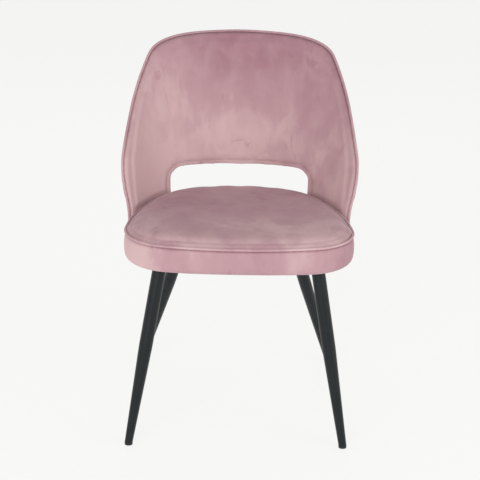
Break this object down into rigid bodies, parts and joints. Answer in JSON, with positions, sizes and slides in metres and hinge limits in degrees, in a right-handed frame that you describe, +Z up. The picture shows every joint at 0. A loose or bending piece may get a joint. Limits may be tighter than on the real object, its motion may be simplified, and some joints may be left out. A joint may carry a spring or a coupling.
{
  "type": "upholstered tub chair",
  "caption": "Small velvet tub chair with a round-fronted boxed seat, a wrap-round padded back with a low lumbar gap, and tapered splayed metal legs.",
  "frame": {"origin": "on the floor, midway between the chair's left and right and between its front and rear", "axes": "+Z up, -Y towards the front of the seat, +X to the right as seen from the front"},
  "size_m": [0.547, 0.5329, 0.84],
  "materials": {
    "velvet": "dusty pink short-pile velvet",
    "piping": "dusty pink velvet over cord",
    "foam": "cream polyurethane foam",
    "plywood": "plain birch plywood",
    "dust_cloth": "black non-woven cloth",
    "black_enamel": "satin near-black powder coat on steel tube",
    "black_plastic": "moulded black plastic",
    "zinc_steel": "zinc-plated steel"
  },
  "bodies": {
    "root": {"seat_board": "plywood", "seat_foam": "foam", "seat_top_cover": "velvet", "seat_boxing": "velvet", "seat_piping": "piping", "dust_cloth": "dust_cloth", "back_core": "plywood", "back_front_foam": "foam", "back_rear_foam": "foam", "back_front_cover": "velvet", "back_rear_cover": "velvet", "gap_lining": "velvet", "back_piping": "piping", "leg_front_left": "black_enamel", "leg_front_right": "black_enamel", "leg_rear_left": "black_enamel", "leg_rear_right": "black_enamel", "leg_plate_front_left": "black_enamel", "leg_plate_front_right": "black_enamel", "leg_plate_rear_left": "black_enamel", "leg_plate_rear_right": "black_enamel", "glide_front_left": "black_plastic", "glide_front_right": "black_plastic", "glide_rear_left": "black_plastic", "glide_rear_right": "black_plastic", "leg_bolts": "zinc_steel", "leg_washers": "zinc_steel", "leg_tee_nuts": "zinc_steel", "bracket_left": "zinc_steel", "bracket_right": "zinc_steel", "bracket_rear": "zinc_steel", "bracket_screws": "zinc_steel", "bracket_bolts": "zinc_steel", "core_tee_nuts": "zinc_steel"}
  },
  "joints": []
}
